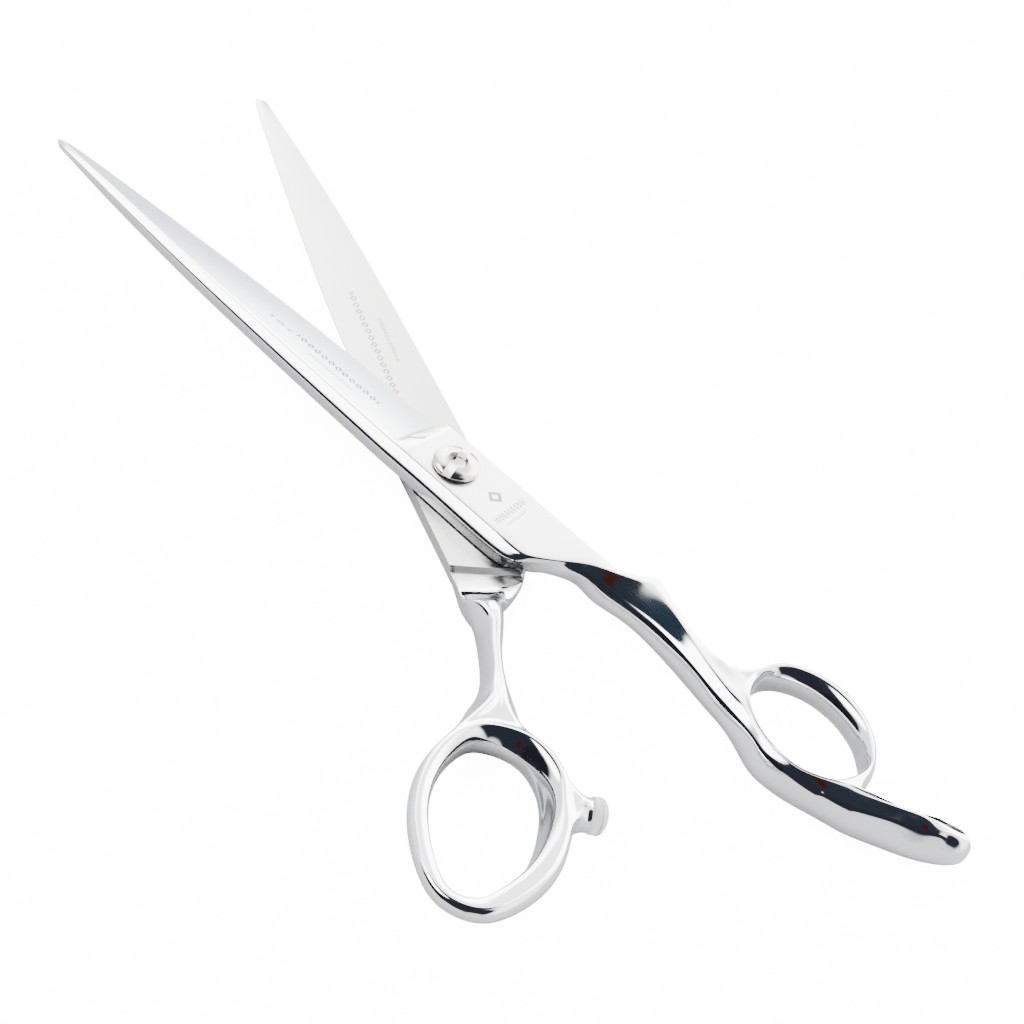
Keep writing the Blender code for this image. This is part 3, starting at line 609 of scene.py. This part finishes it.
marked_facet = ground_steel("marked_facet_steel", FACET_COLOUR, facet_marks,
                            (4200, 260), 0.20, 0.03)
finger_half = make_finger_half()
finger_half.name = "finger_forging"
seat_holes = [cylinder("seat", COUNTERBORE_R, COUNTERBORE_FLOOR, PLATE + 1),
              cylinder("sleeve_hole", SLEEVE_R + GAP, -1, COUNTERBORE_FLOOR + 0.5)]
for hole in seat_holes:
    cut(finger_half, hole)
settle(finger_half, seat_holes)
finger_half.location.z = PLATE * MM
for finish in (buffed, marked_block, marked_facet, hollow_ground):
    finger_half.data.materials.append(finish)
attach(finger_half, "finger_side")
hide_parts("finger_half")


# ---- Thumb half ----
# The same blade and block turned over, with its own thin shank, wide thumb ring and the boss that
# holds the bumper. Where the shank leaves the block the inner face is milled away in an arc.

OPEN_ANGLE = 24.94      # between the blades as the shears lie open
THREAD_R = 1.75         # screw's threaded end, left plain
GLIDE_R = 4.3           # glide washer, let into the inner face
GLIDE_THICK = 0.3
BOSS_END = 4.3          # from the middle of the ring's bar to the end of the boss
BOSS_FOOT = 3.1         # from there to where the boss comes out of the bar
BOSS_R = 2.8
STEM_R = 0.9            # the bumper's stem
STEM_LENGTH = 3.2
BUMPER_DIRECTION = -70.0


def bar_section(low, high, inner, outer, inset, tuck):
    """Forged bar between two side points, with a flat outer face and a rounder back.

    low and high are (x, y) of the two sides, inner and outer are the z of the two faces, inset
    is how far the outer face's edges stand in from the sides, and tuck is the back's share.
    """
    low, high = Vector(low), Vector(high)
    across = (high - low).normalized()
    width = (high - low).length
    middle_z = (inner + outer) / 2

    def at(distance, z):
        point = low + across * distance
        return (point.x, point.y, z)

    return [
        at(width * (1 - tuck), inner),
        at(width, (middle_z + outer) / 2),
        at(width - inset, outer),
        at(width / 2, outer + 0.06),
        at(inset, outer),
        at(0.0, middle_z),
        at(width * tuck, inner),
        at(width / 2, inner - 0.06),
    ]


THUMB_BAR = [
    # centre, heading in degrees, width, inner z, outer z
    ((31.6, 5.6), 22.0, 4.4, -2.6, 2.9),
    ((35.2, 6.9), 21.0, 3.6, -2.5, 2.7),
    ((38.8, 8.2), 20.0, 3.3, -2.5, 2.6),
    ((42.3, 9.4), 20.0, 3.8, -2.6, 2.7),
    ((45.6, 10.7), 23.0, 5.5, -2.8, 2.9),
    ((48.8, 12.2), 28.0, 8.4, -3.0, 3.1),
]
THUMB_RING = [
    # middle of the bar, half width, half height, flare of the hole wall, lip towards the hole
    ((53.5, 20.3), 1.75, 3.0, 0.0, 0.22),
    ((53.0, 15.3), 1.9, 3.25, 0.0, 0.27),
    ((56.0, 10.5), 2.1, 3.3, 0.3, 0.3),
    ((60.5, 8.3), 2.05, 3.3, 0.8, 0.25),
    ((64.8, 7.9), 1.95, 3.2, 1.3, 0.18),
    ((68.7, 8.7), 1.95, 3.1, 1.5, 0.14),
    ((72.3, 10.4), 2.05, 3.0, 1.4, 0.14),
    ((77.1, 13.9), 2.2, 2.8, 0.9, 0.12),
    ((81.5, 18.9), 2.25, 2.5, 0.3, 0.1),
    ((84.2, 24.7), 2.15, 2.1, 0.0, 0.1),
    ((84.7, 29.6), 1.85, 1.8, 0.0, 0.12),
    ((81.6, 33.6), 1.5, 1.65, 0.0, 0.14),
    ((76.0, 34.3), 1.6, 1.65, 0.0, 0.14),
    ((69.4, 33.1), 1.65, 1.7, 0.0, 0.14),
    ((63.2, 30.6), 1.65, 2.0, 0.0, 0.16),
    ((57.5, 26.2), 1.7, 2.5, 0.0, 0.18),
]
BOSS_STATION = 5


def thumb_neck(cage):
    """Slanted end of the block. The inner face ends at an arc round the pivot, and is relieved
    beyond it before the bar rises past the ride plane."""
    arc = [
        (17.5, 7.0, RIDE_GAP), (17.8, 6.6, 2.6), (18.4, FLAT_HIGH, PLATE), (19.2, 0.9, PLATE),
        (20.9, -4.6, PLATE), (20.9, -5.6, WALL), (19.9, -5.6, RIDE_GAP), (18.9, 0.6, RIDE_GAP),
    ]
    relief = [
        (18.7, 7.1, 0.8), (19.3, 6.7, 2.6), (20.0, FLAT_HIGH, PLATE), (21.0, 1.4, PLATE),
        (22.7, -3.3, PLATE), (22.7, -4.3, WALL), (21.2, -4.7, 0.7), (20.0, 1.0, 0.8),
    ]
    flat_end = [
        (22.2, 7.3, 0.6), (22.4, 7.1, 2.3), (22.9, 6.3, 3.55), (24.0, 2.9, 3.6),
        (25.2, -0.3, 3.5), (25.1, -1.7, 2.0), (23.5, -2.2, 0.55), (22.6, 2.9, 0.6),
    ]
    rise = [
        (25.2, 7.5, -0.4), (24.9, 7.6, 1.6), (25.4, 6.9, 3.35), (26.2, 4.3, 3.4),
        (27.1, 1.8, 3.3), (27.0, 0.7, 1.5), (25.6, 0.9, 0.1), (25.3, 4.2, -0.4),
    ]
    top = [
        (27.8, 7.1, -2.3), (27.4, 7.6, 0.6), (27.9, 6.9, 3.1), (28.6, 4.9, 3.2),
        (29.3, 2.9, 3.1), (29.3, 2.1, 0.6), (28.2, 3.0, -2.0), (27.9, 5.2, -2.4),
    ]
    return [cage.add_section(points) for points in (arc, relief, flat_end, rise, top)]


def thumb_bar(cage):
    """Thin bar from the block to the thumb ring."""
    sections = []
    for centre, heading, width, inner, outer in THUMB_BAR:
        turn = math.radians(heading)
        across = Vector((-math.sin(turn), math.cos(turn))) * width / 2
        low, high = Vector(centre) - across, Vector(centre) + across
        shape = bar_section(low, high, inner, outer, width * 0.3, tuck=0.28)
        sections.append(cage.add_section(shape))
    return sections


def ring_outward(index):
    """Direction square to the ring's bar, away from its hole."""
    before = Vector(THUMB_RING[index - 1][0])
    after = Vector(THUMB_RING[(index + 1) % len(THUMB_RING)][0])
    along = (after - before).normalized()
    return Vector((along.y, -along.x))


def thumb_ring(cage):
    """Bar of the thumb ring, all the way round its hole."""
    ring = []
    for index, (centre, half_width, half_height, flare, lip) in enumerate(THUMB_RING):
        shape = ring_section(centre, ring_outward(index), half_width, -half_height, half_height,
                             flare, lip)
        ring.append(cage.add_section(shape))
    return ring


def bumper_axis():
    """Where the bumper's axis starts in the ring's bar, and which way it points."""
    turn = math.radians(BUMPER_DIRECTION)
    return Vector(THUMB_RING[BOSS_STATION][0]), Vector((math.cos(turn), math.sin(turn)))


def boss_section(distance, radius):
    """Round section of the bumper's boss, its points in the order of the patch it grows from."""
    start, way = bumper_axis()
    centre = start + way * distance
    along = Vector((-way.y, way.x))
    points = []
    for step in range(RING_SIDES):
        turn = math.radians(225 - 45 * step)
        side = centre + along * radius * math.cos(turn)
        points.append((side.x, side.y, radius * math.sin(turn)))
    return points


def make_thumb_half():
    """Blade, block, neck and bar in one run that opens into the ring, and the bumper's boss."""
    cage = Cage()
    block = add_blade_and_block(cage)
    neck = thumb_neck(cage)
    bar = thumb_bar(cage)
    ring = thumb_ring(cage)
    shank = block + neck + bar
    blade = [BLADE_FINISH] * (len(BLADE_STATIONS) - 1) + [None]
    flat = [BLOCK_FINISH] * (len(block) + len(neck) - len(blade) - 3)
    join_all(cage, shank, {}, blade + flat)
    cage.join(bar[-1], branch_rim(*ring[0:3]))
    both_lines = (0, 1)
    boss_at = (BOSS_STATION - 1, BOSS_STATION)
    openings = {i: both_lines for i in (0, 1) + boss_at}
    join_all(cage, ring + ring[:1], openings)
    rim = branch_rim(*ring[BOSS_STATION - 1:BOSS_STATION + 2])
    boss = [cage.add_section(boss_section(BOSS_FOOT, BOSS_R + 0.15)),
            cage.add_section(boss_section(BOSS_END, BOSS_R))]
    cage.join(rim, boss[0])
    cage.join(boss[0], boss[1])
    start, way = bumper_axis()
    end = start + way * BOSS_END
    cage.cap(boss[1], (end.x, end.y, 0.0))
    cage.crease_loop(boss[1])
    last = len(block) - 1
    cage.crease_line(shank[last:last + 4], 5, SOFT_CREASE)
    cage.crease_line(shank[last:last + 4], 6, 1.0)
    cage.crease_line(shank[last:last + 2], 0, 1.0)
    cage.crease_line(shank[last + 1:last + 5], 0, 0.8)
    cage.crease([neck[0][0], neck[0][7], neck[0][6]], 1.0)
    cage.crease([neck[1][0], neck[1][7], neck[1][6]], 0.7)
    cage.crease_line(shank[last:last + 4], 2, 1.0)
    cage.crease_line(shank[last:last + 4], 4, SOFT_CREASE)
    return cage.build("thumb_half", FINE)


def place_on_bumper_axis(item, distance):
    """Turns the item's +Z along the bumper's direction, this far from the ring's bar."""
    start, way = bumper_axis()
    centre = start + way * distance
    item.location = (centre.x * MM, centre.y * MM, 0)
    item.rotation_euler = Vector((way.x, way.y, 0)).to_track_quat("Z", "Y").to_euler()


def turn_over(item):
    """Turns a piece of the thumb half over, and opens it about the pivot."""
    bpy.context.view_layer.update()
    opened = Matrix.Rotation(-math.radians(OPEN_ANGLE), 4, "Z") @ Matrix.Rotation(math.pi, 4, "X")
    item.matrix_world = Matrix.Translation((0, 0, PLATE * MM)) @ opened @ item.matrix_world


lapped = ground_steel("lapped_steel", LAPPED_COLOUR, [], (500, 5200), 0.30, 0.05)
facet = ground_steel("facet_steel", FACET_COLOUR, [], (4200, 260), 0.20, 0.03)
thumb_half = make_thumb_half()
thumb_half.name = "thumb_forging"
stem_hole = cylinder("stem_hole", STEM_R + GAP, BOSS_END - STEM_LENGTH - 2 * GAP, BOSS_END + 1)
place_on_bumper_axis(stem_hole, 0.0)
thumb_holes = [cylinder("washer_seat", GLIDE_R + GAP, -1, RIDE_GAP + GLIDE_THICK + GAP),
               cylinder("thread_hole", THREAD_R + GAP, -1, PLATE + 1),
               stem_hole]
for hole in thumb_holes:
    cut(thumb_half, hole)
settle(thumb_half, thumb_holes)
turn_over(thumb_half)
for finish in (buffed, lapped, facet, hollow_ground):
    thumb_half.data.materials.append(finish)
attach(thumb_half, "thumb_side")
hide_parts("thumb_half")


# ---- Pivot bush ----
# Flanged bush moulded in nylon. It is pushed into the finger half's bore and keeps the turning
# screw off the steel. Its flange lies under the spring washer.

def moulded_nylon(name, colour, gloss):
    """Nylon as it comes from the mould, with flow marks. gloss is its least roughness."""
    material, shader = new_finish(name, colour, 0.0)
    flow = add_node(material, "ShaderNodeTexNoise",
                    {"Vector": own_place(material, (400, 400, 400)), "Scale": 1.0, "Detail": 2.0})
    link = material.node_tree.links.new
    link(between(material, flow.outputs["Fac"], gloss, gloss + 0.2), shader.inputs["Roughness"])
    shader.inputs["Subsurface Weight"].default_value = 0.15
    shader.inputs["Subsurface Radius"].default_value = (0.001, 0.001, 0.001)
    relief = add_node(material, "ShaderNodeBump",
                      {"Height": flow.outputs["Fac"], "Strength": 0.1, "Distance": 0.0001})
    link(relief.outputs["Normal"], shader.inputs["Normal"])
    return material


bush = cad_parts["pivot_bush"]
bush.material_slots[0].material = moulded_nylon("moulded_nylon", (0.86, 0.86, 0.82), 0.35)


# ---- Spring washer ----
# Blanked from rolled spring strip and curved, so that it presses the halves together. It sits
# under the screw's head.

def rolled_steel():
    """Spring strip, with the streaks that the rolls leave."""
    material, shader = new_finish("rolled_steel", (0.56, 0.56, 0.58))
    rolling = add_node(material, "ShaderNodeTexNoise",
                       {"Vector": own_place(material, (200, 4000, 1000)), "Scale": 1.0,
                        "Detail": 3.0})
    link = material.node_tree.links.new
    link(between(material, rolling.outputs["Fac"], 0.22, 0.42), shader.inputs["Roughness"])
    relief = add_node(material, "ShaderNodeBump",
                      {"Height": rolling.outputs["Fac"], "Strength": 0.05, "Distance": 0.0001})
    link(relief.outputs["Normal"], shader.inputs["Normal"])
    return material


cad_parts["spring_washer"].material_slots[0].material = rolled_steel()


# ---- Glide washer ----
# Flat washer punched from nylon sheet, slippery and a little waxy. It is let into the thumb half
# and keeps the two blocks from rubbing.

glide_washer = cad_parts["glide_washer"]
glide_washer.material_slots[0].material = moulded_nylon("sheet_nylon", (0.9, 0.89, 0.84), 0.28)


# ---- Tension screw ----
# Turned from steel and nickel plated. Its domed head has a wide coin slot across it and a round
# recess in the middle, and its plain end comes out flush with the thumb half.

HEAD_R = 4.0
HEAD_UNDER = PLATE + GAP
HEAD_RIM = 4.3          # height of the head's side, where its dome begins
HEAD_TOP = 5.3
JOURNAL_R = 1.9         # smooth part of the screw, inside the bush
SLOT_WIDTH = 1.5
SLOT_DEPTH = 0.95
SLOT_ANGLE = 105.0
RECESS_R = 1.75
RECESS_DEPTH = 1.15


def block(name, size, height):
    """Box of this size in millimetres, centred on the Z axis at a height."""
    shape = bmesh.new()
    bmesh.ops.create_cube(shape, size=MM)
    bmesh.ops.scale(shape, verts=shape.verts, vec=size)
    bmesh.ops.translate(shape, verts=shape.verts, vec=(0, 0, height * MM))
    mesh = bpy.data.meshes.new(name)
    shape.to_mesh(mesh)
    shape.free()
    item = bpy.data.objects.new(name, mesh)
    bpy.context.scene.collection.objects.link(item)
    return item


def turned(name, profile, sides=48):
    """Piece turned about Z from a closed (radius, z) outline in millimetres."""
    shape = bmesh.new()
    corners = [shape.verts.new((r * MM, 0, z * MM)) for r, z in profile]
    pairs = [(corners[i - 1], corners[i]) for i in range(len(corners))]
    edges = [shape.edges.new(pair) for pair in pairs if pair[0].co.x > 0 or pair[1].co.x > 0]
    bmesh.ops.spin(shape, geom=corners + edges, cent=(0, 0, 0), axis=(0, 0, 1),
                   angle=math.tau, steps=sides, use_merge=True)
    bmesh.ops.remove_doubles(shape, verts=shape.verts, dist=1e-6)
    bmesh.ops.recalc_face_normals(shape, faces=shape.faces)
    mesh = bpy.data.meshes.new(name)
    shape.to_mesh(mesh)
    shape.free()
    mesh.shade_smooth()
    mesh.set_sharp_from_angle(angle=math.radians(35))
    item = bpy.data.objects.new(name, mesh)
    bpy.context.scene.collection.objects.link(item)
    return item


def plated_steel():
    """Nickel plate, a little warmer than the halves, with turning rings."""
    material, shader = new_finish("plated_steel", (0.52, 0.505, 0.47))
    place = add_node(material, "ShaderNodeTexCoord", {})
    axes = add_node(material, "ShaderNodeSeparateXYZ", {"Vector": place.outputs["Object"]})
    flat = add_node(material, "ShaderNodeCombineXYZ",
                    {"X": axes.outputs["X"], "Y": axes.outputs["Y"]})
    radius = add_node(material, "ShaderNodeVectorMath", {0: flat.outputs[0]}, operation="LENGTH")
    rings = add_node(material, "ShaderNodeTexNoise",
                     {"W": radius.outputs["Value"], "Scale": 9000.0, "Detail": 2.0},
                     noise_dimensions="1D")
    link = material.node_tree.links.new
    link(between(material, rings.outputs["Fac"], 0.07, 0.20), shader.inputs["Roughness"])
    relief = add_node(material, "ShaderNodeBump",
                      {"Height": rings.outputs["Fac"], "Strength": 0.05, "Distance": 0.0001})
    link(relief.outputs["Normal"], shader.inputs["Normal"])
    return material


def tension_screw():
    """The screw before its recess and slot are cut, with z = 0 on the finger half's face."""
    rim_round = 0.12
    outline = [(0.0, -PLATE), (THREAD_R - 0.15, -PLATE), (THREAD_R, -PLATE + 0.15),
               (THREAD_R, -3 * RIDE_GAP), (JOURNAL_R, -3 * RIDE_GAP), (JOURNAL_R, HEAD_UNDER),
               (HEAD_R - rim_round, HEAD_UNDER), (HEAD_R, HEAD_UNDER + rim_round)]
    steps = 14
    for step in range(steps):
        turn = math.pi / 2 * step / steps
        height = HEAD_RIM + (HEAD_TOP - HEAD_RIM) * math.sin(turn)
        outline.append((HEAD_R * math.cos(turn), height))
    outline.append((0.0, HEAD_TOP))
    return turned("tension_screw", outline, sides=128)


screw = tension_screw()
recess = cylinder("recess", RECESS_R, HEAD_TOP - RECESS_DEPTH, HEAD_TOP + 1, sides=96)
slot = block("slot", (2.4 * HEAD_R, SLOT_WIDTH, 2 * SLOT_DEPTH), HEAD_TOP)
cut(screw, recess)
cut(screw, slot)
edge_round = screw.modifiers.new("edge_round", "BEVEL")
edge_round.width = 0.08 * MM
edge_round.segments = 3
edge_round.angle_limit = math.radians(40)
settle(screw, [recess, slot], corner=35)
screw.data.materials.append(plated_steel())
screw.rotation_euler.z = math.radians(SLOT_ANGLE)
screw.location.z = PLATE * MM
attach(screw, "tension_screw")
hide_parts("pivot_screw")


# ---- Bumper ----
# Soft stop moulded in milky silicone, pushed by its stem into the boss on the thumb ring. It
# quiets the shears as they close.

BUMPER_R = 3.0
BUMPER_LENGTH = 2.8


def milky_silicone():
    """Silicone that lets light through but no clear view."""
    material, shader = new_finish("milky_silicone", (0.97, 0.97, 0.955), 0.0)
    cloud = add_node(material, "ShaderNodeTexNoise",
                     {"Vector": own_place(material, (500, 500, 500)), "Scale": 1.0,
                      "Detail": 2.0})
    link = material.node_tree.links.new
    link(between(material, cloud.outputs["Fac"], 0.12, 0.26), shader.inputs["Roughness"])
    shader.inputs["Transmission Weight"].default_value = 0.7
    shader.inputs["IOR"].default_value = 1.41
    shader.inputs["Subsurface Weight"].default_value = 0.3
    shader.inputs["Subsurface Radius"].default_value = (0.0015, 0.0015, 0.0014)
    relief = add_node(material, "ShaderNodeBump",
                      {"Height": cloud.outputs["Fac"], "Strength": 0.08, "Distance": 0.0002})
    link(relief.outputs["Normal"], shader.inputs["Normal"])
    return material


def soft_stop():
    """The bumper and its stem, with z = 0 where it meets the boss."""
    side = 1.3              # height of the straight side, under the dome
    outline = [(0.0, -STEM_LENGTH), (STEM_R - 0.1, -STEM_LENGTH), (STEM_R, -STEM_LENGTH + 0.1),
               (STEM_R, 0.0), (BUMPER_R - 0.25, 0.0), (BUMPER_R - 0.06, 0.07), (BUMPER_R, 0.3)]
    steps = 14
    for step in range(steps):
        turn = math.pi / 2 * step / steps
        height = side + (BUMPER_LENGTH - side) * math.sin(turn)
        outline.append((BUMPER_R * math.cos(turn), height))
    outline.append((0.0, BUMPER_LENGTH))
    return turned("soft_stop", outline, sides=96)


bumper = soft_stop()
bumper.data.materials.append(milky_silicone())
place_on_bumper_axis(bumper, BOSS_END + GAP)
turn_over(bumper)
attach(bumper, "thumb_side")
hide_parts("bumper")


# ---- Table, light and camera ----
# A white table under a light tent. The tent has brighter panels on the far side and on the left,
# and it is open above and round the camera, where it is dark: that draws the steel's edges.

WHITE_LIGHT = 14.0      # light that shows as pure white


def white_table():
    """White to the eye. The shears themselves are lit by it as by pale grey paper."""
    material, shader = new_finish("white_table", (0.44, 0.44, 0.45), 0.0)
    grain = add_node(material, "ShaderNodeTexNoise",
                     {"Vector": own_place(material, (30, 30, 30)), "Scale": 1.0, "Detail": 2.0})
    link = material.node_tree.links.new
    link(between(material, grain.outputs["Fac"], 0.7, 0.85), shader.inputs["Roughness"])
    seen = add_node(material, "ShaderNodeLightPath", {})
    glow = add_node(material, "ShaderNodeMath",
                    {0: seen.outputs["Is Camera Ray"], 1: WHITE_LIGHT}, operation="MULTIPLY")
    shader.inputs["Emission Color"].default_value = (1.0, 1.0, 1.0, 1.0)
    link(glow.outputs[0], shader.inputs["Emission Strength"])
    return material


bpy.ops.mesh.primitive_circle_add(vertices=96, radius=4.0, fill_type="NGON",
                                  location=(0, 0, -0.0006))
table = bpy.context.object
table.name = "table"
table.data.materials.append(white_table())


def direction(azimuth, elevation):
    """Unit vector, with azimuth from +X towards +Y, both in degrees."""
    side, up = math.radians(azimuth), math.radians(elevation)
    return Vector((math.cos(side) * math.cos(up), math.sin(side) * math.cos(up), math.sin(up)))


def light_tent(cloth, panels):
    """World light. Each panel lies over the ones before it and gives where it points, its width
    from the middle to the edge, how soft the edge is, and its light."""
    world = bpy.data.worlds.new("light_tent")
    world.use_nodes = True
    bpy.context.scene.world = world
    new, link = world.node_tree.nodes.new, world.node_tree.links.new
    gaze = new("ShaderNodeTexCoord").outputs["Generated"]
    light = None
    for azimuth, elevation, width, softness, colour in panels:
        facing = new("ShaderNodeVectorMath")
        facing.operation = "DOT_PRODUCT"
        link(gaze, facing.inputs[0])
        facing.inputs[1].default_value = direction(azimuth, elevation)
        share = new("ShaderNodeMapRange")
        share.interpolation_type = "SMOOTHSTEP"
        share.inputs["From Min"].default_value = math.cos(math.radians(width + softness))
        share.inputs["From Max"].default_value = math.cos(math.radians(max(width - softness, 0)))
        link(facing.outputs["Value"], share.inputs["Value"])
        mix = new("ShaderNodeMix")
        mix.data_type = "RGBA"
        if light:
            link(light, mix.inputs[6])
        else:
            mix.inputs[6].default_value = (*cloth, 1.0)
        mix.inputs[7].default_value = (*colour, 1.0)
        link(share.outputs["Result"], mix.inputs["Factor"])
        light = mix.outputs[2]
    seen = new("ShaderNodeMix")
    seen.data_type = "RGBA"
    link(new("ShaderNodeLightPath").outputs["Is Camera Ray"], seen.inputs["Factor"])
    link(light, seen.inputs[6])
    seen.inputs[7].default_value = (WHITE_LIGHT, WHITE_LIGHT, WHITE_LIGHT, 1.0)
    link(seen.outputs[2], world.node_tree.nodes["Background"].inputs["Color"])


light_tent((2.6, 2.65, 2.75), [
    (105, 20, 44, 14, (14.0, 14.0, 14.0)),      # far panel, dimmer above and below
    (112, 54, 15, 4, (4.6, 4.6, 4.6)),
    (112, -2, 17, 5, (1.8, 2.0, 2.5)),
    (20, 32, 24, 14, (5.0, 5.0, 5.2)),          # right panel
    (-61, 44, 50, 6, (0.03, 0.035, 0.05)),      # open round the camera
    (-122, 6, 30, 6, (0.02, 0.02, 0.03)),
    (-38, -3, 16, 4, (1.6, 1.65, 1.75)),        # grey card low on the right of the camera
    (-149, 54, 19, 5, (14.0, 14.0, 14.0)),      # left panel
    (160, 76, 17, 3, (0.03, 0.05, 0.08)),       # open above
    (90, 80, 14, 3, (0.03, 0.04, 0.06)),
    (-78, 20, 4, 3, (0.07, 0.016, 0.012)),      # a red cloth behind the camera, and one above
    (80, 85, 4, 2, (0.07, 0.016, 0.012)),
])

camera = bpy.data.objects.new("camera", bpy.data.cameras.new("camera"))
bpy.context.scene.collection.objects.link(camera)
camera.data.lens = 140.6
camera.data.sensor_width = 36.0
camera.data.clip_start = 0.01
camera.location = (0.23273, -0.42291, 0.44160)
camera.rotation_euler = [math.radians(a) for a in (45.594, -15.924, 42.531)]
bpy.context.scene.camera = camera
